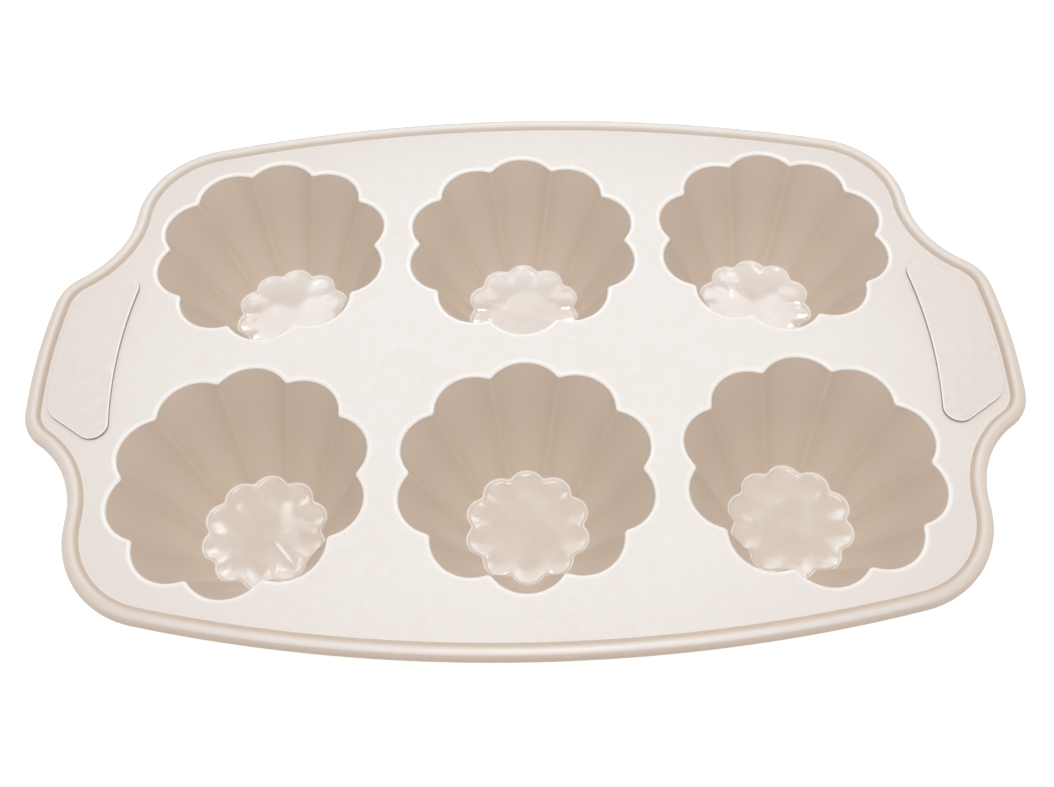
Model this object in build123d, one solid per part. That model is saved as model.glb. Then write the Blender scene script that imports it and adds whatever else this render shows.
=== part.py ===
from build123d import *
from math import atan, cos, pi, radians, sin, sqrt
import os

# Silicone muffin pan: six fluted cups hang from a flat deck, and a round bead with a steel wire
# inside runs round the deck and its two handle tabs.
# Millimetres. The origin is on the surface that the pan stands on, under the middle of the deck.
# +X runs from the left handle to the right one, +Y to the back and +Z up.

# Grid of cups, named by where they hang
row_names = ["front", "back"]
column_names = ["left", "middle", "right"]
pitch_x = 82.4
pitch_y = 86.0

# One cup: lobes is the number of flutes, tip the radius out to the middle of a lobe, and
# crease the radius to the sharp line where two lobes would meet, before it is rounded
lobes = 10
mouth_tip = 37.9
mouth_crease = 33.6
floor_tip = 19.4
floor_crease = 16.4
cup_depth = 36.9
cup_wall = 1.3
cup_floor = 1.4
mouth_crease_round = 1.4
floor_crease_round = 2.0
outer_crease_round = 0.6
mouth_lip_round = 0.9
floor_inner_round = 1.0
floor_outer_round = 1.2

# Deck and the outline of its bead, taken along the middle of the bead.
# The margins run from the tip circles of the corner cups out to that line.
deck_thickness = 1.8
end_margin = 6.6
side_margin = 4.7
side_crown = 11.2
corner_radius = 28.4
neck_radius = 33.6
handle_reach = 20.6
handle_width = 62.4
handle_corner_radius = 12.2
handle_crown = 1.05

# Rim bead and the wire sealed in it
bead_diameter = 5.0
wire_diameter = 2.4
wire_clearance = 0.02

# Raised grip pads, set in from the middle of the bead
pad_height = 1.0
pad_width = 18.6
pad_side_inset = 4.1
pad_end_inset = 6.1
pad_inner_corner = 4.6
pad_outer_corner = 3.6
pad_edge_round = 0.4

# Levels
deck_top = cup_floor + cup_depth
deck_bottom = deck_top - deck_thickness
bead_level = deck_top - deck_thickness / 2


def along(direction, length):
    """Vector of a given length in a direction."""
    return direction.normalized() * length


def arc_about(centre, start, end):
    """The shorter arc about a centre."""
    radius = (start - centre).length
    middle = centre + along((start - centre) + (end - centre), radius)
    return Edge.make_three_point_arc(start, middle, end)


def crown_radius(offset, radius, crown):
    """Radius of a flat arc that touches a circle to one side of its middle and stands a crown above it."""
    return (offset**2 + (radius + crown)**2 - radius**2) / (2 * crown)


def circle_between(first, first_radius, second, second_radius, radius):
    """Centre of a circle that touches two others from outside, on the side away from the origin."""
    span = second - first
    near = first_radius + radius
    far = second_radius + radius
    down = (near**2 - far**2 + span.length**2) / (2 * span.length)
    aside = sqrt(near**2 - down**2)
    return first + along(span, down) + along(Vector(-span.Y, span.X), aside)


# Outline of the rim: its half sizes and the centres of its arcs, in the quarter at +X and +Y
cup_x = pitch_x * (len(column_names) - 1) / 2
cup_y = pitch_y * (len(row_names) - 1) / 2
corner = Vector(cup_x + mouth_tip + end_margin - corner_radius, cup_y + mouth_tip + side_margin - corner_radius)
half_width = corner.Y + corner_radius + side_crown
half_length = corner.X + corner_radius + handle_reach
tab_corner = Vector(half_length - handle_crown - handle_corner_radius, handle_width / 2 - handle_corner_radius)
side_radius = crown_radius(corner.X, corner_radius, side_crown)
handle_radius = crown_radius(tab_corner.Y, handle_corner_radius, handle_crown)
side = Vector(0, half_width - side_radius)
handle = Vector(half_length - handle_radius, 0)
neck = circle_between(corner, corner_radius, tab_corner, handle_corner_radius, neck_radius)
shoulder = tab_corner + along(neck - tab_corner, handle_corner_radius)


def rim_line():
    """Closed line of tangent arcs along the middle of the bead."""
    side_end = corner + along(corner - side, corner_radius)
    corner_end = corner + along(neck - corner, corner_radius)
    tab_end = tab_corner + along(tab_corner - handle, handle_corner_radius)
    quarter = Wire([
        arc_about(side, Vector(0, half_width), side_end),
        arc_about(corner, side_end, corner_end),
        arc_about(neck, corner_end, shoulder),
        arc_about(tab_corner, shoulder, tab_end),
        arc_about(handle, tab_end, Vector(half_length, 0)),
    ])
    half = Wire(quarter.edges() + quarter.mirror(Plane.XZ).edges())
    return Wire(half.edges() + half.mirror(Plane.YZ).edges())


def round_bar(diameter):
    """Solid round bar, bent along the whole rim."""
    path = rim_line().moved(Location((0, 0, bead_level)))
    start = Plane(origin=path @ 0, z_dir=path % 0)
    return sweep(start * Circle(diameter / 2), path=path)


def polar(radius, degrees):
    """Point at a radius, turned clockwise from +Y."""
    return Vector(radius * sin(radians(degrees)), radius * cos(radians(degrees)))


def scallop(tip, crease, crease_round, grow=0.0):
    """Face with an edge of round lobes whose creases are rounded. grow moves the whole edge outwards."""
    half_turn = 180 / lobes
    half = pi / lobes
    centre = (tip**2 - crease**2) / (2 * (tip - crease * cos(half)))
    radius = tip - centre + grow
    crease_out = centre * cos(half) + sqrt(radius**2 - (centre * sin(half))**2)
    arcs = []
    for lobe in range(lobes):
        middle = 2 * half_turn * lobe
        start = polar(crease_out, middle - half_turn)
        end = polar(crease_out, middle + half_turn)
        arcs.append(Edge.make_three_point_arc(start, polar(centre + radius, middle), end))
    edge = make_face(Wire(arcs))
    return fillet(edge.vertices(), crease_round)


def at_level(floor_value, mouth_value, level):
    """Value at a level of a size that changes evenly from the cup's floor to its mouth."""
    return floor_value + (mouth_value - floor_value) * (level - cup_floor) / cup_depth


def cup_form(low, low_round, high_round, grow=0.0):
    """Fluted taper from a low level up to the top of the deck."""
    bottom = scallop(at_level(floor_tip, mouth_tip, low), at_level(floor_crease, mouth_crease, low), low_round, grow)
    top = scallop(mouth_tip, mouth_crease, high_round, grow)
    return loft([Pos(0, 0, low) * bottom, Pos(0, 0, deck_top) * top], ruled=True)


def cavity():
    """Space inside a cup, from its floor to the top of the deck."""
    return cup_form(cup_floor, floor_crease_round, mouth_crease_round)


def edges_at(solid, level):
    """Edges that lie flat at a level."""
    return solid.edges().filter_by_position(Axis.Z, level, level)


def fluted_cup():
    """Cup below the deck: an even wall and a flat floor, rounded inside and out where they meet."""
    wall_across = cup_wall / cos(atan((mouth_tip - floor_tip) / cup_depth))
    outside = cup_form(0, outer_crease_round, outer_crease_round, wall_across)
    outside = split(outside, bisect_by=Plane.XY.offset(deck_bottom), keep=Keep.BOTTOM)
    outside = fillet(edges_at(outside, 0), floor_outer_round)
    cup = outside - cavity()
    return fillet(edges_at(cup, cup_floor), floor_inner_round)


def cup_places():
    """Name and place of each cup."""
    for row, row_name in enumerate(row_names):
        for column, column_name in enumerate(column_names):
            place = Pos(column * pitch_x - cup_x, row * pitch_y - cup_y, 0)
            yield "cup_" + row_name + "_" + column_name, place


def deck_sheet():
    """Flat deck out to the bead, with rounded lips at the cups' mouths."""
    sheet = Pos(0, 0, deck_bottom) * extrude(make_face(rim_line()), deck_thickness)
    sheet -= [place * cavity() for _, place in cup_places()]
    top = sheet.faces().sort_by(Axis.Z)[-1]
    lips = [edge for mouth in top.inner_wires() for edge in mouth.edges()]
    sheet = fillet(lips, mouth_lip_round)
    return sheet - round_bar(bead_diameter)


def grip_pad():
    """Raised pad on the right-hand tab. Its long edges follow the tab's end and its short ones the shoulders."""
    outer_radius = handle_radius - pad_side_inset
    band = Pos(handle.X, 0) * (Circle(outer_radius) - Circle(outer_radius - pad_width))
    outwards = (neck - tab_corner).normalized()
    reach = shoulder.dot(outwards) - pad_end_inset
    tip = reach / outwards.X
    base = half_length - pad_side_inset - 2 * pad_width
    spread = (reach - base * outwards.X) / outwards.Y
    outline = band & make_face(Polyline((tip, 0), (base, spread), (base, -spread), close=True))
    outline = fillet(outline.vertices().sort_by(Axis.X)[2:], pad_outer_corner)
    outline = fillet(outline.vertices().sort_by(Axis.X)[:2], pad_inner_corner)
    pad = Pos(0, 0, deck_top) * extrude(outline, pad_height)
    return fillet(edges_at(pad, deck_top + pad_height), pad_edge_round)


def pan():
    """Every piece by name."""
    cup = fluted_cup()
    pad = grip_pad()
    pieces = {name: place * cup for name, place in cup_places()}
    pieces["deck"] = deck_sheet()
    pieces["rim_bead"] = round_bar(bead_diameter) - round_bar(wire_diameter + 2 * wire_clearance)
    pieces["rim_wire"] = round_bar(wire_diameter)
    pieces["right_grip_pad"] = pad
    pieces["left_grip_pad"] = pad.mirror(Plane.YZ)
    return pieces


os.makedirs("parts", exist_ok=True)
for name, piece in pan().items():
    export_step(piece, "parts/" + name + ".step")
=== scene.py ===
from math import atan, atan2, cos, exp, pi, radians, sin, sqrt, tan

import bmesh
import bpy
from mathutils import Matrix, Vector, noise


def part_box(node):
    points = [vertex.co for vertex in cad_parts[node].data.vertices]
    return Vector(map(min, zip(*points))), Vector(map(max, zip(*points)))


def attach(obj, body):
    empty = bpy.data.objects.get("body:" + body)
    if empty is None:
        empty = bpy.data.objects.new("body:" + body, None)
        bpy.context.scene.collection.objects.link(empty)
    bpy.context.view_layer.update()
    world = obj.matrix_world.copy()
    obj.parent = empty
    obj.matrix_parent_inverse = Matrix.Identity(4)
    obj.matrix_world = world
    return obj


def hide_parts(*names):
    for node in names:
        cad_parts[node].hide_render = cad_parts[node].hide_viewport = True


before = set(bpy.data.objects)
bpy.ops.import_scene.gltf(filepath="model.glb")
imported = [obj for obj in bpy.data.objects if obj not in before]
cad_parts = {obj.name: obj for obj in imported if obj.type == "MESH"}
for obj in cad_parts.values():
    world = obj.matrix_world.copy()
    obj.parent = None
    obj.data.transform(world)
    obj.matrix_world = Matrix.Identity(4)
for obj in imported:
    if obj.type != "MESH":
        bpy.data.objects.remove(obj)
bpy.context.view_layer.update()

# Silicone muffin pan. Metres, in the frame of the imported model: the pan stands on z = 0 under the
# middle of its deck, +X to the right handle and +Y to the back.

# Levels and places read from the frame
deck_bottom, deck_top = (end.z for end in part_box("deck"))
deck_middle = (deck_top + deck_bottom) / 2
cup_names = sorted(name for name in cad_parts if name.startswith("cup_"))
cup_centres = {name: sum(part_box(name), Vector()) / 2 for name in cup_names}

# Fluted cup. A tip is the middle of a lobe, and a crease the line between two lobes.
lobes = 10
mouth_tip = 0.0379
mouth_crease = 0.0336
floor_tip = 0.0194
floor_crease = 0.0164
cup_floor = 0.0014
cup_wall = 0.0013
mouth_crease_round = 0.0014
floor_crease_round = 0.0020
outer_crease_round = 0.0006
lip_round = 0.0009
floor_round = 0.0020
heel_round = 0.0012
root_round = 0.0012
cup_depth = deck_top - cup_floor
slope = (mouth_tip - floor_tip) / cup_depth
wall_turn = pi / 2 - atan(slope)
wall_across = cup_wall / sin(wall_turn)

# The creases outside a cup sharpen to this share of their round where the cup meets the deck
root_crease_share = 0.4

# Dished floor inside a cup: how far it tilts at its edge, and the share of the way out to which it is level
dish_tilt = radians(5)
dish_start = 0.6
dish_depth = tan(dish_tilt) * (1 - dish_start) * floor_tip / 2

# Dip in the floor, a little in from the end of each lobe
spoon_reach = 0.0148
spoon_width = 0.0024
spoon_depth = 0.00005

# How far each cup's floor is out of flat. It has broad waves, counted in a metre along and across, and a
# share of fine ones. They grow with the depth of the dish, to their full height at a third of it.
floor_waves = {"cup_back_left": 0.00010, "cup_back_middle": 0.00010, "cup_back_right": 0.00016,
               "cup_front_left": 0.00014, "cup_front_middle": 0.00004, "cup_front_right": 0.00010}
broad_waves = 110, 60
fine_waves = 260, 140
fine_share = 0.2
fine_seed = 5
wave_growth = 3

# Pleats in two of the floors: which way they run from the middle, in degrees clockwise from +Y, and from
# where to where
floor_pleats = {"cup_back_left": (-18, 0.007, 0.0175), "cup_front_left": (140, 0.003, 0.0170)}
pleat_height = 0.00009
pleat_width = 0.0007

# Line along the middle of the bead
corner_radius = 0.0284
neck_radius = 0.0336
tab_corner_radius = 0.0122
half_width = 0.0968
half_length = 0.1475
corner = Vector((0.0985, 0.0572, 0))
side_crown = half_width - corner.y - corner_radius
tab_crown = 0.00105
tab_half_width = 0.0312
tab_corner = Vector((half_length - tab_crown - tab_corner_radius, tab_half_width - tab_corner_radius, 0))

# Bead, and how the deck runs into it. The deck's hidden edge lies inside the bead, at a share of its radius.
bead_radius = 0.0025
bore_radius = 0.00122
bead_fillet = 0.0005
tucked_share = 0.76

# Grip pads
pad_height = 0.0010
pad_width = 0.0186
pad_side_inset = 0.0041
pad_end_inset = 0.0061
pad_inner_corner = 0.0046
pad_outer_corner = 0.0090
pad_edge_round = 0.0004
pad_sink = 0.0001

# How finely the rounds and bands are divided
lobe_steps = 20
crease_steps = 8
heel_steps = 5
root_steps = 5
outer_wall_steps = 5
lip_steps = 8
inner_wall_steps = 8
floor_round_steps = 8
bead_fillet_steps = 5
pad_edge_steps = 5
bead_sides = 24
bore_sides = 10

# Steps of the turns in a quarter of the rim, from the middle of its back
side_steps = 30
corner_steps = 20
neck_steps = 16
tab_corner_steps = 14
handle_steps = 10

# Steps of the turns in half of a pad, from the middle of its outer edge
pad_outer_steps = 24
pad_outer_corner_steps = 10
pad_end_steps = 4
pad_inner_corner_steps = 14
pad_inner_steps = 20

# Rings across the underside and the floor of a cup, as shares of the outermost one
underside_shares = 0.05, 0.5, 0.97
floor_rings = 20
first_share = 0.975
share_step = 0.0475
floor_shares = [first_share - share_step * step for step in range(floor_rings)]

# A ring this far along a flat, from where a round ends, keeps the shading of the flat even
hold = 0.0005

# How far apart two rings are held while they are bridged
apart = 0.02

# Edges that turn by more than this stay sharp
sharp_turn = radians(40)

# Millimetres in a metre, for filling flat outlines
millimetres = 1000


class Wire:
    """A node's output, which takes part in sums."""

    def __init__(self, socket):
        self.socket = socket

    def sum_with(self, operation, first, second):
        """One node that works out two values."""
        node = self.socket.id_data.nodes.new("ShaderNodeMath")
        node.operation = operation
        plug(node.inputs[0], first)
        plug(node.inputs[1], second)
        return Wire(node.outputs[0])

    def __add__(self, other):
        return self.sum_with("ADD", self, other)

    def __sub__(self, other):
        return self.sum_with("SUBTRACT", self, other)

    def __rsub__(self, other):
        return self.sum_with("SUBTRACT", other, self)

    def __mul__(self, other):
        return self.sum_with("MULTIPLY", self, other)

    def __abs__(self):
        return self.sum_with("ABSOLUTE", self, 0)

    def __lt__(self, other):
        return self.sum_with("LESS_THAN", self, other)

    __radd__ = __add__
    __rmul__ = __mul__


def plug(socket, value):
    """Gives a node's input a value or a link."""
    if isinstance(value, Wire):
        socket.id_data.links.new(value.socket, socket)
    else:
        socket.default_value = value


class Finish:
    """The nodes of a material, or of the room's light."""

    def __init__(self, name, kind=bpy.data.materials):
        self.owner = kind.new(name)
        self.owner.use_nodes = True
        self.tree = self.owner.node_tree
        self.tree.nodes.clear()

    def node(self, kind, inputs=None, output=0, **settings):
        """One node of any kind: its settings first, then the values or links of its inputs."""
        node = self.tree.nodes.new(kind)
        for name, value in settings.items():
            setattr(node, name, value)
        for name, value in (inputs or {}).items():
            plug(node.inputs[name], value)
        return Wire(node.outputs[output]) if node.outputs else None

    def place(self):
        """Where a point is on the object."""
        return self.node("ShaderNodeTexCoord", output="Object")

    def along(self, axis):
        """How far along an axis a point is."""
        return self.node("ShaderNodeSeparateXYZ", {"Vector": self.place()}, axis)

    def facing(self, axis):
        """How much the surface faces along an axis, from -1 to 1."""
        normal = self.node("ShaderNodeTexCoord", output="Normal")
        return self.node("ShaderNodeSeparateXYZ", {"Vector": normal}, axis)

    def noise(self, scale, detail, roughness=0.5):
        """Soft random pattern. scale is in patches a metre."""
        return self.node("ShaderNodeTexNoise", {
            "Vector": self.place(),
            "Scale": scale,
            "Detail": detail,
            "Roughness": roughness,
        })

    def between(self, low, high, value):
        """Rises smoothly from 0 at low to 1 at high."""
        return self.node("ShaderNodeMapRange", {"Value": value, "From Min": low, "From Max": high},
                         interpolation_type="SMOOTHSTEP")

    def steepness(self, flat, steep):
        """0 where the surface lies within an angle of level, above or below, and 1 past a steeper one."""
        return 1 - self.between(cos(radians(steep)), cos(radians(flat)), abs(self.facing("Z")))

    def outwards(self, length, width, left, forward):
        """How far out a point is: 1 on an ellipse whose middle lies to the left and forward."""
        scaled = self.node("ShaderNodeMapping", {
            "Vector": self.place(),
            "Scale": (2 / length, 2 / width, 0),
            "Location": (2 * left / length, 2 * forward / width, 0),
        })
        return self.node("ShaderNodeVectorMath", {0: scaled}, "Value", operation="LENGTH")

    def seen(self):
        """1 for light that reaches the camera straight, off gloss or through glass."""
        paths = [self.node("ShaderNodeLightPath", output=name)
                 for name in ("Is Camera Ray", "Is Glossy Ray", "Is Transmission Ray")]
        return self.between(0, 1, paths[0] + paths[1] + paths[2])

    def mix(self, amount, first, second):
        """One colour into another."""
        node = self.tree.nodes.new("ShaderNodeMix")
        node.data_type = "RGBA"
        plug(node.inputs[0], amount)
        plug(node.inputs[6], first)
        plug(node.inputs[7], second)
        return Wire(node.outputs[2])

    def bump(self, height, depth, under=None):
        """Surface relief. depth is how deep a height of 1 is, in metres."""
        inputs = {"Height": height, "Distance": depth, "Strength": 1.0}
        if under:
            inputs["Normal"] = under
        return self.node("ShaderNodeBump", inputs)

    def surface(self, shader, output="ShaderNodeOutputMaterial"):
        """Sends a shader to the output, and gives the material or the world."""
        self.node(output, {"Surface": shader})
        return self.owner


# Silicone of the deck, the rim and the outside of the cups: its own colour with warm patches and clouds, then
# painted shade towards the rim, on the slopes, in the groove at the front and at the back, and on the rim in
# front on the handles
deck_colour = (0.865, 0.812, 0.768, 1)
deck_warm = (0.845, 0.780, 0.726, 1)
cloud_colour = (0.875, 0.835, 0.800, 1)
painted_edge_shade = (0.755, 0.682, 0.627, 1)
painted_side_shade = (0.730, 0.610, 0.520, 1)
painted_groove_shade_front = (0.665, 0.550, 0.450, 1)
painted_groove_shade_back = (0.680, 0.585, 0.500, 1)
painted_rim_end_shade = (0.690, 0.565, 0.465, 1)

# Painted shades of the slopes, at the front and at the back
painted_side_shades = painted_side_shade, painted_side_shade
painted_groove_shades = painted_groove_shade_front, painted_groove_shade_back

# Inside of the cups: painted highlights on the lip and round the floor, painted shade down the wall and on
# the floor, and painted light on the rear floors
painted_lip_highlight = (0.970, 0.945, 0.920, 1)
painted_wall_shade = (0.700, 0.585, 0.490, 1)
painted_low_wall_shade = (0.760, 0.655, 0.560, 1)
painted_floor_shade = (0.724, 0.646, 0.575, 1)
floor_pale = (0.790, 0.730, 0.680, 1)
painted_rear_floor_light = (0.850, 0.835, 0.815, 1)
painted_floor_line_highlight = (1.000, 0.980, 0.955, 1)

# Grip pads, with painted shade down their sides, what lies on the pan, the wire and the table
grip_colour = (0.800, 0.735, 0.685, 1)
pad_side = (0.440, 0.325, 0.235, 1)
dust_colour = (0.95, 0.94, 0.93, 1)
grit_colour = (0.52, 0.44, 0.37, 1)
steel_colour = (0.62, 0.62, 0.63, 1)
steel_dull = (0.50, 0.50, 0.51, 1)
table_dark = (0.58, 0.54, 0.50, 1)
table_light = (0.62, 0.58, 0.54, 1)
white = (1, 1, 1, 1)
black = (0, 0, 0, 1)

# Patterns, in patches a metre
slow_pattern = 22
warm_pattern = 28
floor_pattern = 110
rough_pattern = 160
cloud_pattern = 330
steel_pattern = 900
grain_pattern = 1500
drawn_pattern = 1800
table_pattern = 6

# Where in a pattern, or in the ellipse round the pan, a colour sets in and is full, and how much of it there
# is. The ellipse carries painted shade towards the rim, and the rear floors get painted light.
warm_range = 0.35, 0.7
warm_amount = 0.6
cloud_range = 0.4, 0.65
cloud_amount = 0.6
floor_range = 0.4, 0.7
painted_edge_shade_range = 0.6, 1.2
painted_edge_shade_amount = 0.7
painted_rear_light_amount = 0.75
flat_amount = 0.8

# How deep the relief is
slow_depth = 0.0006
deck_grain = 0.00004
smooth_grain = 0.00002

# Roughness, at its least where it has a spread
deck_rough = 0.50
outside_rough = 0.24
inside_rough = 0.40
satin_spread = 0.10
grip_rough = 0.42
grip_spread = 0.08
wall_rough = 0.50
lip_rough = 0.35
floor_rough = 0.06
steel_rough = 0.28
steel_spread = 0.15
table_rough = 0.9

silicone_ior = 1.41

# Stretches of X or Y over which the colour changes: the painted shade, and the painted light on the rear
# floors
front_rim = -0.070, -0.090
right_rim = 0.060, 0.115
handles = 0.09, 0.13
front_to_back = 0, 0.06
rear_floors = 0.040, 0.060

# How much the front of the rim faces back, from where it faces the camera to its inner side, over which its
# painted shade grows
camera_to_inner = -0.22, 0.42

# Angles from level, in degrees, over which painted shade sets in, and on the pads' rounded edges a painted
# highlight
groove_slopes = 12, 43
back_flank = 45, 80
right_flank = 24, 56
front_flank = 26, 43
pad_edges = 3, 12
pad_sides = 42, 64

# Levels over which the colour inside a cup changes: down from the deck for the painted highlight on the lip
# and the flat beside it, and up from the floor for its painted highlight line and its painted shade. The
# wall's painted shade grows paler from wall_drop down.
lip_drops = 0.00070, 0.00060
flat_drops = 0.00008, 0.00001
line_rises = 0.0003, 0.0005
floor_rises = 0.0009, 0.0010
wall_drop = 0.008


def specks(finish, scale, size, share):
    """Mask of small round specks, on a share of the cells of a random grid."""
    cell = {"Vector": finish.place(), "Scale": scale}
    near = finish.node("ShaderNodeTexVoronoi", cell, "Distance")
    colour = finish.node("ShaderNodeTexVoronoi", cell, "Color")
    chance = finish.node("ShaderNodeSeparateColor", {"Color": colour}, "Red")
    return (near < size * scale) * (chance < share)


def silicone_colour(finish, main, warm, edge, shaded, shade):
    """Moulded silicone: faint warm patches and fine clouds, with dust and a little grit on it. It turns to
    its edge colour, a painted shade, towards the rim, and to its painted shade where it is shaded."""
    patches = finish.between(*warm_range, finish.noise(warm_pattern, detail=5, roughness=0.6))
    clouds = finish.between(*cloud_range, finish.noise(cloud_pattern, detail=3, roughness=0.6))
    # Painted shade towards the rim, round an ellipse
    outer = finish.between(*painted_edge_shade_range, finish.outwards(length=0.285, width=0.22, left=0.002, forward=0.006))
    dust = specks(finish, scale=95, size=0.00021, share=0.08)
    grit = specks(finish, scale=60, size=0.00014, share=0.06)
    colour = finish.mix(patches * warm_amount, main, warm)
    colour = finish.mix(clouds * cloud_amount, colour, cloud_colour)
    colour = finish.mix(outer * painted_edge_shade_amount, colour, edge)
    # Painted shade where the shaded mask is 1
    colour = finish.mix(shaded, colour, shade)
    colour = finish.mix(dust, colour, dust_colour)
    return finish.mix(grit, colour, grit_colour)


def fine_grain(finish, depth):
    """Relief of a blasted mould, with a slow unevenness under it."""
    slow = finish.bump(finish.noise(slow_pattern, detail=2), slow_depth)
    return finish.bump(finish.noise(grain_pattern, detail=2), depth, slow)


def painted_shade_on_slopes(finish):
    """1 where the surface is steep, which takes the painted shade."""
    return finish.steepness(*groove_slopes)


def ahead(finish):
    """1 on the front of the rim."""
    return finish.between(*front_rim, finish.along("Y"))


def painted_shade_leaning_in(finish):
    """1 on the inner side of the front of the rim, falling slowly to 0 where it faces the camera: the painted
    shade there.
    """
    return finish.between(*camera_to_inner, finish.facing("Y")) * ahead(finish)


def painted_shade_in_groove(finish):
    """1 on the inner side of the rim, which is the groove between it and the deck, where the painted shade
    goes.
    """
    return painted_shade_on_slopes(finish) * (1 - ahead(finish)) + painted_shade_leaning_in(finish)


def painted_shade_on_flank(finish):
    """1 on the outer side of the rim, where the painted shade goes: on the right, and at the front, it is
    shaded tan from higher up.
    """
    aside = finish.between(*right_rim, finish.along("X"))
    behind = finish.steepness(*back_flank) * (1 - aside) + finish.steepness(*right_flank) * aside
    return behind * (1 - ahead(finish)) + finish.steepness(*front_flank) * ahead(finish) + painted_shade_leaning_in(finish)


def satin_silicone(name, least_rough, grain, shaded, ends, shades):
    """Moulded silicone. The rim rubs smoother than the deck. ends is the painted shade that it turns to in
    front on both handles, and its painted shade on the slopes is given at the front and at the back."""
    finish = Finish(name)
    back = finish.between(*front_to_back, finish.along("Y"))
    # Painted shade on the rim in front on both handles
    on_handles = finish.between(*handles, abs(finish.along("X"))) * (1 - back)
    edge = finish.mix(on_handles, painted_edge_shade, ends)
    shade = finish.mix(back, *shades)
    return finish.surface(finish.node("ShaderNodeBsdfPrincipled", {
        "Base Color": silicone_colour(finish, deck_colour, deck_warm, edge, shaded(finish), shade),
        "Roughness": least_rough + satin_spread * finish.noise(rough_pattern, detail=4),
        "IOR": silicone_ior,
        "Normal": fine_grain(finish, grain),
    }))


def grip_silicone():
    """Silicone of the grip pads, with a painted highlight along the rounded edge and painted shade down the
    side.
    """
    finish = Finish("grip_silicone")
    colour = silicone_colour(finish, grip_colour, deck_warm, painted_edge_shade, 0, painted_side_shade)
    # Painted highlight along the pad's rounded edge
    colour = finish.mix(finish.steepness(*pad_edges), colour, painted_lip_highlight)
    return finish.surface(finish.node("ShaderNodeBsdfPrincipled", {
        # Painted shade down the pad's side
        "Base Color": finish.mix(finish.steepness(*pad_sides), colour, pad_side),
        "Roughness": grip_rough + grip_spread * finish.noise(rough_pattern, detail=4),
        "IOR": silicone_ior,
        "Normal": fine_grain(finish, smooth_grain),
    }))


def cup_silicone():
    """Inside of a cup: a painted highlight round the lip, painted shade down the wall and paler painted shade
    on the glossy floor, with a painted highlight line round it and painted light on the rear floors."""
    finish = Finish("cup_silicone")
    height = finish.along("Z")

    def up_to_deck(drops):
        return finish.between(deck_top - drops[0], deck_top - drops[1], height)

    def up_from_floor(rises):
        return finish.between(cup_floor + rises[0], cup_floor + rises[1], height)

    lip = up_to_deck(lip_drops)
    floor = 1 - up_from_floor(floor_rises)
    # Painted highlight line round the floor, at the foot of the wall
    line = up_from_floor(line_rises) * floor
    # Painted light on the rear floors
    rear = finish.between(*rear_floors, finish.along("Y"))
    clouds = finish.between(*floor_range, finish.noise(floor_pattern, detail=3))
    dust = specks(finish, scale=110, size=0.00021, share=0.05)
    # Painted shade down the wall, paler lower down
    wall = finish.mix(finish.between(deck_top - wall_drop, cup_floor, height), painted_wall_shade, painted_low_wall_shade)
    # Painted shade on the floor, with paler clouds at random
    bottom = finish.mix(clouds * cloud_amount, painted_floor_shade, floor_pale)
    bottom = finish.mix(rear * painted_rear_light_amount, bottom, painted_rear_floor_light)
    colour = finish.mix(floor, wall, finish.mix(line, bottom, painted_floor_line_highlight))
    colour = finish.mix(dust, colour, dust_colour)
    # Painted highlight round the lip, with the deck's colour over the flat beside it
    lip_and_flat = finish.mix(up_to_deck(flat_drops) * flat_amount, painted_lip_highlight, deck_colour)
    colour = finish.mix(lip, colour, lip_and_flat)
    return finish.surface(finish.node("ShaderNodeBsdfPrincipled", {
        "Base Color": colour,
        "Roughness": wall_rough - (wall_rough - lip_rough) * lip - (wall_rough - floor_rough) * floor,
        "IOR": silicone_ior,
        "Normal": finish.bump(finish.noise(grain_pattern, detail=2), smooth_grain),
    }))


def drawn_steel():
    """Dull steel of the wire."""
    finish = Finish("drawn_steel")
    return finish.surface(finish.node("ShaderNodeBsdfPrincipled", {
        "Base Color": finish.mix(finish.noise(steel_pattern, detail=2), steel_colour, steel_dull),
        "Metallic": 1.0,
        "Roughness": steel_rough + steel_spread * finish.noise(drawn_pattern, detail=3),
    }))


def joined(bm, part):
    """Adds a part to a piece and gives the part's edges."""
    before = set(bm.edges)
    mesh = bpy.data.meshes.new("part")
    part.to_mesh(mesh)
    part.free()
    bm.from_mesh(mesh)
    bpy.data.meshes.remove(mesh)
    return [edge for edge in bm.edges if edge not in before]


def ring(bm, start, turns):
    """Closed line: a point carried clockwise through turns, each with a centre, an angle, a count of steps
    and a straight run to share out over them. It is drawn on its own first, which is quicker."""
    line = bmesh.new()
    first = point = bmesh.ops.create_vert(line, co=start)["vert"][0]
    for centre, angle, steps, run in turns:
        swept = bmesh.ops.spin(line, geom=[point], cent=centre, axis=(0, 0, -1), angle=angle, steps=steps,
                               dvec=run / steps)
        point = next(part for part in swept["geom_last"] if isinstance(part, bmesh.types.BMVert))
    bmesh.ops.weld_verts(line, targetmap={point: first})
    return joined(bm, line)


def turn(centre, angle, steps):
    """Turn without a straight run."""
    return centre, angle, steps, Vector()


def skin(bm, rings, finish=0):
    """Band of faces from each ring to the next. Rings are held apart while they are bridged, because two that
    lie in one plane can be bridged the wrong way round."""
    for one, other in zip(rings, rings[1:]):
        points = list({point for edge in other for point in edge.verts})
        bmesh.ops.translate(bm, vec=(0, 0, apart), verts=points)
        for face in bmesh.ops.bridge_loops(bm, edges=one + other)["faces"]:
            face.material_index = finish
        bmesh.ops.translate(bm, vec=(0, 0, -apart), verts=points)


def close_fan(bm, edges, finish=0):
    """Fills a ring with triangles that meet at its middle."""
    faces = bmesh.ops.contextual_create(bm, geom=edges)["faces"]
    for face in bmesh.ops.poke(bm, faces=faces)["faces"]:
        face.material_index = finish


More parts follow.
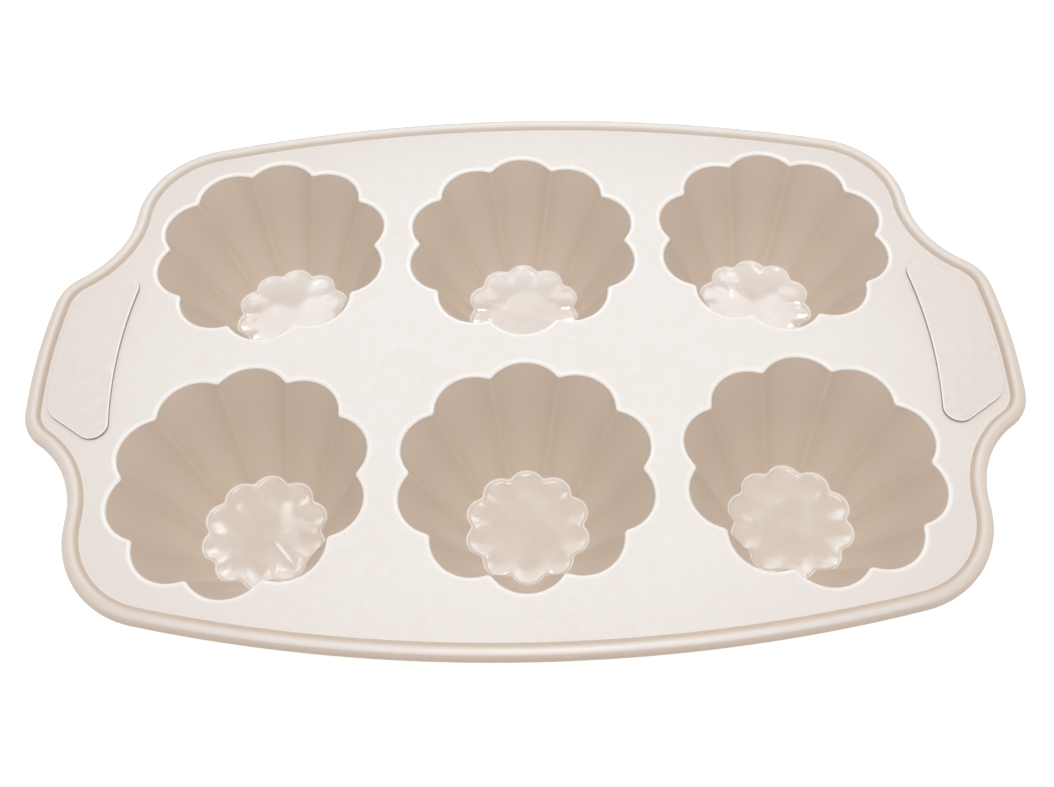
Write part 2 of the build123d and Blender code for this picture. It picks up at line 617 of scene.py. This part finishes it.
def close_flat(bm, edges):
    """Fills a flat outline, and leaves the holes inside it open. It is worked out in millimetres, because the
    fill takes points that are very near each other for one."""
    bmesh.ops.scale(bm, vec=[millimetres] * 3, verts=bm.verts)
    bmesh.ops.triangle_fill(bm, use_beauty=True, edges=edges, normal=(0, 0, 1))
    bmesh.ops.scale(bm, vec=[1 / millimetres] * 3, verts=bm.verts)


def angles(end, steps, start=0):
    """Even angles from a start to an end."""
    return [start + (end - start) * step / steps for step in range(steps + 1)]


def finished(bm, name, node, materials, bores=()):
    """Turns a bmesh into a piece of the pan."""
    bmesh.ops.recalc_face_normals(bm, faces=bm.faces)
    bmesh.ops.reverse_faces(bm, faces=bores)
    for face in bm.faces:
        face.smooth = True
    for edge in bm.edges:
        edge.smooth = edge.calc_face_angle(0) < sharp_turn
    mesh = bpy.data.meshes.new(name)
    bm.to_mesh(mesh)
    bm.free()
    for material in materials:
        mesh.materials.append(material)
    piece = bpy.data.objects.new(name, mesh)
    bpy.context.collection.objects.link(piece)
    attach(piece, "root")
    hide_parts(node)
    return piece


def clockwise(direction):
    """Angle of a direction, clockwise from +Y."""
    return atan2(direction.x, direction.y)


def scallop(bm, cup, tip, crease, crease_round, grow, height):
    """Ring of round lobes whose creases are rounded. grow moves the whole ring outwards."""
    half = pi / lobes
    out = (tip**2 - crease**2) / (2 * (tip - crease * cos(half)))
    radius = tip - out + grow
    crease_out = out * cos(half) + sqrt((radius + crease_round)**2 - (out * sin(half))**2)
    bend = atan2(crease_out * sin(half), crease_out * cos(half) - out)

    def spot(angle, distance):
        return cup + Vector((distance * sin(angle), distance * cos(angle), 0))

    turns = []
    for lobe in range(lobes):
        middle = 2 * half * lobe
        turns.append(turn(spot(middle, out), 2 * bend, lobe_steps))
        turns.append(turn(spot(middle + half, crease_out), 2 * half - 2 * bend, crease_steps))
    start = spot(0, out) + Vector((-radius * sin(bend), radius * cos(bend), height))
    return ring(bm, start, turns)


def at_level(floor_value, mouth_value, level):
    """Value at a level of a size that changes evenly from the cup's floor to its mouth."""
    return floor_value + (mouth_value - floor_value) * (level - cup_floor) / cup_depth


def flutes(bm, cup, level, height, grow, crease_round):
    """Scallop as wide as the cup is at a level."""
    tip = at_level(floor_tip, mouth_tip, level)
    crease = at_level(floor_crease, mouth_crease, level)
    return scallop(bm, cup, tip, crease, crease_round, grow, height)


# How far out from the inside of the wall the cup's flange ends, and where its rounds meet the flats
flange = lip_round / sin(wall_turn) - lip_round * slope + hold
heel_foot = wall_across + heel_round * (slope - 1 / sin(wall_turn))
floor_foot = floor_round * (slope - 1 / sin(wall_turn))
root_foot = wall_across + root_round * (1 / sin(wall_turn) - slope)


def outside_rings(bm, cup):
    """Outside of a cup, from its underside up to the deck: heel, wall and the fillet under the deck."""
    rings = []
    for angle in angles(wall_turn, heel_steps):
        rise = heel_round * (1 - cos(angle))
        grow = heel_foot + heel_round * sin(angle)
        rings.append(flutes(bm, cup, 0, rise, grow, outer_crease_round + wall_across + rise * slope - grow))
    low = heel_round
    high = deck_bottom - root_round
    for step in range(outer_wall_steps + 1):
        level = low + (high - low) * step / outer_wall_steps
        rings.append(flutes(bm, cup, level, level, wall_across, outer_crease_round))
    for angle in reversed(angles(wall_turn, root_steps)):
        drop = root_round * (1 - cos(angle))
        narrowing = outer_crease_round * (root_crease_share + (1 - root_crease_share) * angle / wall_turn)
        grow = root_foot - root_round * sin(angle)
        rings.append(flutes(bm, cup, deck_bottom, deck_bottom - drop, grow, narrowing))
    hidden = deck_bottom + hold / 2
    rings.append(flutes(bm, cup, deck_bottom, hidden, root_foot, outer_crease_round * root_crease_share))
    rings.append(flutes(bm, cup, deck_top, hidden, flange, mouth_crease_round - flange))
    return rings


def inside_rings(bm, cup):
    """Inside of a cup, from the deck down to its floor: lip, wall and fillet."""
    rings = [flutes(bm, cup, deck_top, deck_top, flange, mouth_crease_round - flange)]
    for angle in angles(wall_turn, lip_steps):
        grow = flange - hold - lip_round * sin(angle)
        drop = lip_round * (1 - cos(angle))
        rings.append(flutes(bm, cup, deck_top, deck_top - drop, grow, mouth_crease_round - grow))
    high = deck_top - lip_round
    low = cup_floor + floor_round
    for step in range(inner_wall_steps + 1):
        level = high + (low - high) * step / inner_wall_steps
        crease_round = at_level(floor_crease_round, mouth_crease_round, level)
        rings.append(flutes(bm, cup, level, level, 0, crease_round))
    for angle in reversed(angles(wall_turn, floor_round_steps, dish_tilt)):
        grow = floor_foot + floor_round * sin(angle)
        rise = floor_round * (1 - cos(angle))
        rings.append(flutes(bm, cup, cup_floor, cup_floor + rise, grow, floor_crease_round - grow))
    return rings


def flat_rings(bm, cup, height, foot, crease_round, shares, drop=lambda share: 0):
    """Rings across a flat floor, each a share of the outermost one."""
    return [scallop(bm, cup, floor_tip * share, floor_crease * share, crease_round * share, foot * share,
                    height - drop(share)) for share in shares]


def dished(share):
    """How far the floor has sunk at a share of the way out. It is level inside the dish, and tilts at its
    edge."""
    return dish_depth * (1 - max(0, (share - dish_start) / (1 - dish_start))**2)


def cup_shape():
    """The shape that all the cups share, about its own middle: a closed shell with its lip."""
    bm = bmesh.new()
    middle = Vector()
    under_foot = heel_foot + at_level(floor_tip, mouth_tip, 0) - floor_tip
    under = flat_rings(bm, middle, 0, under_foot, outer_crease_round, underside_shares)
    inside = inside_rings(bm, middle)
    foot = floor_foot + floor_round * sin(dish_tilt)
    floor = flat_rings(bm, middle, cup_floor, foot, floor_crease_round - foot, floor_shares, dished)
    skin(bm, under + outside_rings(bm, middle) + inside[:1])
    skin(bm, inside + floor, 1)
    close_fan(bm, under[0])
    close_fan(bm, floor[-1], 1)
    return bm


def rippled(place, wave, seed):
    """How far the floor of a cup stands off its plane: soft silicone never lies quite flat."""
    broad = noise.noise(Vector((place.x * broad_waves[0], place.y * broad_waves[1], seed)))
    fine = noise.noise(Vector((place.x * fine_waves[0], place.y * fine_waves[1], seed + fine_seed)))
    return wave * (broad + fine_share * fine)


def pleated(place, degrees, start, end):
    """How far a low pleat, which runs outwards across the floor, stands up from it."""
    way = Vector((sin(radians(degrees)), cos(radians(degrees))))
    share = (place.xy.dot(way) - start) / (end - start)
    if not 0 < share < 1:
        return 0
    return pleat_height * sin(pi * share) * exp(-(way.cross(place.xy) / pleat_width)**2)


def spooned(place):
    """How far the floor dips, a little in from the end of each lobe."""
    spread = 2 * pi / lobes
    lobe = spread * round(clockwise(place) / spread)
    away = (place.xy - Vector((sin(lobe), cos(lobe))) * spoon_reach).length
    return spoon_depth * exp(-(away / spoon_width)**2)


def fluted_cup(shape, name, seed):
    """One cup in its place, with a floor of its own."""
    bm = shape.copy()
    for point in bm.verts:
        depth = cup_floor - point.co.z
        if depth > 0 and all(face.material_index for face in point.link_faces):
            rise = rippled(point.co, floor_waves[name], seed) - spooned(point.co)
            if name in floor_pleats:
                rise += pleated(point.co, *floor_pleats[name])
            point.co.z += rise * min(1, wave_growth * depth / dish_depth)
    bmesh.ops.translate(bm, vec=(cup_centres[name].x, cup_centres[name].y, 0), verts=bm.verts)
    return finished(bm, "fluted_" + name, name, [cup_outside, cup_inside])


def crown_radius(offset, radius, crown):
    """Radius of a flat arc that touches a circle to one side of its middle and stands a crown above it."""
    return (offset**2 + (radius + crown)**2 - radius**2) / (2 * crown)


def circle_between(first, first_radius, second, second_radius, radius):
    """Centre of a circle that touches two others from outside, on the side away from the origin."""
    span = second - first
    near = first_radius + radius
    far = second_radius + radius
    down = (near**2 - far**2 + span.length**2) / (2 * span.length)
    across = Vector((-span.y, span.x, 0)).normalized()
    return first + span.normalized() * down + across * sqrt(near**2 - down**2)


# Middles of the arcs of the rim, in the quarter at +X and +Y
side = Vector((0, half_width - crown_radius(corner.x, corner_radius, side_crown), 0))
handle_radius = crown_radius(tab_corner.y, tab_corner_radius, tab_crown)
handle = Vector((half_length - handle_radius, 0, 0))
neck = circle_between(corner, corner_radius, tab_corner, tab_corner_radius, neck_radius)


def mirrored(turns, scale):
    """The same turns on the other side of an axis, in the order that carries on clockwise."""
    return [turn(centre * scale, angle, steps) for centre, angle, steps, _ in reversed(turns)]


def outline_turns():
    """Turns all round the rim, from the middle of the back."""
    headings = [0, clockwise(corner - side), clockwise(neck - corner), clockwise(neck - tab_corner),
                clockwise(tab_corner - handle), pi / 2]
    centres = [side, corner, neck, tab_corner, handle]
    steps = [side_steps, corner_steps, neck_steps, tab_corner_steps, handle_steps]
    quarter = [turn(centre, end - start, count)
               for centre, start, end, count in zip(centres, headings, headings[1:], steps)]
    half = quarter + mirrored(quarter, Vector((1, -1, 1)))
    return half + mirrored(half, Vector((-1, 1, 1)))


def rim_ring(bm, outwards, height):
    """Ring at a distance out from the middle of the bead."""
    return ring(bm, (0, half_width + outwards, height), outline_turns())


def deck_sheet():
    """Flat deck with a hole for each cup. A small fillet runs up to the bead, above and below."""
    bm = bmesh.new()
    half = deck_top - deck_middle
    foot = sqrt((bead_radius + bead_fillet)**2 - (half + bead_fillet)**2)
    sweep = atan2(foot, half + bead_fillet)
    edges = []
    for way in (1, -1):
        edge = [rim_ring(bm, -foot - hold, deck_middle + way * half)]
        for angle in angles(sweep, bead_fillet_steps):
            rise = half + bead_fillet - bead_fillet * cos(angle)
            edge.append(rim_ring(bm, -foot + bead_fillet * sin(angle), deck_middle + way * rise))
        edge.append(rim_ring(bm, -tucked_share * bead_radius, deck_middle + way * half))
        edges.append(edge)
    above, below = edges
    skin(bm, above + below[::-1])
    faces = [above[0], below[0]]
    hole_edge = [(deck_top, hold), (deck_top, 0), (deck_bottom, 0), (deck_bottom, hold)]
    for centre in cup_centres.values():
        cup = Vector((centre.x, centre.y, 0))
        hole = []
        for height, past in hole_edge:
            grow = flange + past
            hole.append(flutes(bm, cup, deck_top, height, grow, max(mouth_crease_round - grow, hold / 2)))
        skin(bm, hole)
        faces = [faces[0] + hole[0], faces[1] + hole[-1]]
    for outline in faces:
        close_flat(bm, outline)
    return finished(bm, "deck_sheet", "deck", [satin])


def bead_rings(bm, radius, count):
    """Rings all round a bar that follows the rim, with the first one again at the end."""
    rings = []
    for step in range(count):
        angle = 2 * pi * step / count
        rings.append(rim_ring(bm, radius * cos(angle), deck_middle + radius * sin(angle)))
    return rings + rings[:1]


def rolled_rim():
    """Round bead with the bore that the wire lies in."""
    bm = bmesh.new()
    rings = bead_rings(bm, bead_radius, bead_sides)
    top = bead_sides // 4
    bottom = 3 * top
    skin(bm, rings[:top + 1])
    skin(bm, rings[top:bottom + 1], 1)
    skin(bm, rings[bottom:])
    outer = set(bm.faces)
    skin(bm, bead_rings(bm, bore_radius, bore_sides))
    bore = [face for face in bm.faces if face not in outer]
    return finished(bm, "rolled_rim", "rim_bead", [rim_outside, rim_inside], bore)


def pad_turns():
    """Turns round the right-hand pad, from the middle of its outer edge."""
    across = (neck - tab_corner).normalized()
    reach = across.dot(tab_corner) + tab_corner_radius - pad_end_inset
    outer = handle_radius - pad_side_inset

    def corner_centre(distance, corner_round):
        along = reach - corner_round - across.dot(handle)
        aside = sqrt(distance**2 - along**2)
        return handle + across * along + Vector((across.y, -across.x, 0)) * aside

    flip = Vector((1, -1, 1))
    first = corner_centre(outer - pad_outer_corner, pad_outer_corner) * flip
    second = corner_centre(outer - pad_width + pad_inner_corner, pad_inner_corner) * flip
    end_face = across * flip
    run = second + end_face * pad_inner_corner - first - end_face * pad_outer_corner
    first_heading = clockwise(first - handle)
    end_heading = clockwise(end_face)
    second_heading = clockwise(second - handle)
    front = [
        turn(handle, first_heading - pi / 2, pad_outer_steps),
        turn(first, end_heading - first_heading, pad_outer_corner_steps),
        (first, 0, pad_end_steps, run),
        turn(second, second_heading + pi - end_heading, pad_inner_corner_steps),
        turn(handle, pi / 2 - second_heading, pad_inner_steps),
    ]
    back = [(centre * flip, angle, steps, Vector((-way.x, way.y, 0)))
            for centre, angle, steps, way in reversed(front)]
    return front + back


def grip_pad(name, node, hand):
    """Raised pad with a rounded top edge. hand is 1 on the right and -1 on the left."""
    bm = bmesh.new()
    turns = pad_turns()
    outer = handle.x + handle_radius - pad_side_inset

    def pad_ring(inset, height):
        return ring(bm, (outer - inset, 0, height), turns)

    shoulder = deck_top + pad_height - pad_edge_round
    rings = [pad_ring(0, deck_top - pad_sink)]
    for angle in angles(pi / 2, pad_edge_steps):
        rings.append(pad_ring(pad_edge_round * (1 - cos(angle)), shoulder + pad_edge_round * sin(angle)))
    rings.append(pad_ring(pad_edge_round + hold, shoulder + pad_edge_round))
    skin(bm, rings)
    close_flat(bm, rings[0])
    close_flat(bm, rings[-1])
    bmesh.ops.scale(bm, vec=(hand, 1, 1), verts=bm.verts)
    return finished(bm, name, node, [grip])


satin = satin_silicone("satin_silicone", deck_rough, deck_grain, painted_shade_on_slopes, painted_edge_shade, painted_groove_shades)
cup_outside = satin_silicone("cup_outside", deck_rough, deck_grain, painted_shade_on_slopes, painted_edge_shade, painted_side_shades)
rim_outside = satin_silicone("rim_outside", outside_rough, smooth_grain, painted_shade_on_flank, painted_rim_end_shade, painted_side_shades)
rim_inside = satin_silicone("rim_inside", inside_rough, smooth_grain, painted_shade_in_groove, painted_rim_end_shade, painted_groove_shades)
grip = grip_silicone()
cup_inside = cup_silicone()
shape = cup_shape()
for seed, name in enumerate(cup_names):
    fluted_cup(shape, name, seed)
deck_sheet()
rolled_rim()
grip_pad("right_pad", "right_grip_pad", 1)
grip_pad("left_pad", "left_grip_pad", -1)
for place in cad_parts["rim_wire"].material_slots:
    place.material = drawn_steel()

# Table, room and camera
table_half_size = 3
table_gap = 0.0002
table_lift = 0.82
room_colour = (0.60, 0.585, 0.57, 1)
camera_lens = 37.249
camera_sensor = 36
camera_place = 0.00165, -0.19553, 0.31101
camera_turns = 33.2036, 0.7821, -0.8944

# Small lamps that the floors of the cups mirror: place along X and Y, and power
window_level = 1.00
window_panes = [(-0.56, 0.52, 0.5), (-0.24, 0.53, 0.5), (0.19, 0.53, 0.4), (-0.16, 0.88, 1.8),
                (0.17, 0.88, 1.5)]


def table_top():
    """Plain pale floor. Seen straight, it is lifted to white, and it keeps the pan's shadow."""
    finish = Finish("table_top")
    finish.surface(finish.node("ShaderNodeBsdfPrincipled", {
        "Base Color": finish.mix(finish.noise(table_pattern, detail=2), table_dark, table_light),
        "Roughness": table_rough,
        "Emission Color": finish.mix(finish.seen(), black, white),
        "Emission Strength": table_lift,
    }))
    bm = bmesh.new()
    bmesh.ops.create_grid(bm, x_segments=1, y_segments=1, size=table_half_size)
    bmesh.ops.translate(bm, vec=(0, 0, -table_gap), verts=bm.verts)
    mesh = bpy.data.meshes.new("table_top")
    bm.to_mesh(mesh)
    bm.free()
    mesh.materials.append(finish.owner)
    floor = bpy.data.objects.new("table_top", mesh)
    bpy.context.collection.objects.link(floor)


def softbox(name, place, size, power, colour, only_gloss=True):
    """Rectangular lamp that faces the middle of the floor. Where it is for gloss alone, it only shows in
    reflections."""
    lamp = bpy.data.lights.new(name, "AREA")
    lamp.shape = "RECTANGLE"
    lamp.size, lamp.size_y = size
    lamp.energy = power
    lamp.color = colour
    holder = bpy.data.objects.new(name, lamp)
    holder.location = place
    holder.rotation_euler = Vector(place).to_track_quat("Z", "Y").to_euler()
    holder.visible_diffuse = not only_gloss
    bpy.context.collection.objects.link(holder)


def pale_room():
    """Light from all round, which is white where it is seen."""
    room = Finish("pale_room", bpy.data.worlds)
    shade = room.mix(room.seen(), room_colour, white)
    light = room.node("ShaderNodeBackground", {"Color": shade})
    bpy.context.scene.world = room.surface(light, "ShaderNodeOutputWorld")


def camera():
    """Looks down from the front, as the photograph does."""
    lens = bpy.data.cameras.new("camera")
    lens.lens = camera_lens
    lens.sensor_width = camera_sensor
    holder = bpy.data.objects.new("camera", lens)
    holder.location = camera_place
    holder.rotation_euler = [radians(angle) for angle in camera_turns]
    bpy.context.collection.objects.link(holder)
    bpy.context.scene.camera = holder


table_top()
pale_room()
softbox("overhead", (0.03, -0.02, 0.95), size=(0.36, 0.30), power=3.3, colour=(0.95, 0.975, 1.0),
        only_gloss=False)
softbox("back_panel", (0, 0.79, 1.05), size=(1.00, 0.44), power=5.6, colour=(0.70, 0.86, 1.0))
softbox("front_panel", (0, -0.42, 1.00), size=(0.90, 0.40), power=3.4, colour=(0.86, 0.94, 1.0))
for x in -0.38, 0.38:
    softbox("side_panel", (x, 0.84, 1.03), size=(0.28, 0.24), power=0.55, colour=(0.80, 0.91, 1.0))
for x, y, power in window_panes:
    softbox("window_pane", (x, y, window_level), size=(0.16, 0.12), power=power, colour=(0.78, 0.90, 1.0))
camera()

bpy.context.scene.view_settings.view_transform = "Standard"
bpy.context.view_layer.update()
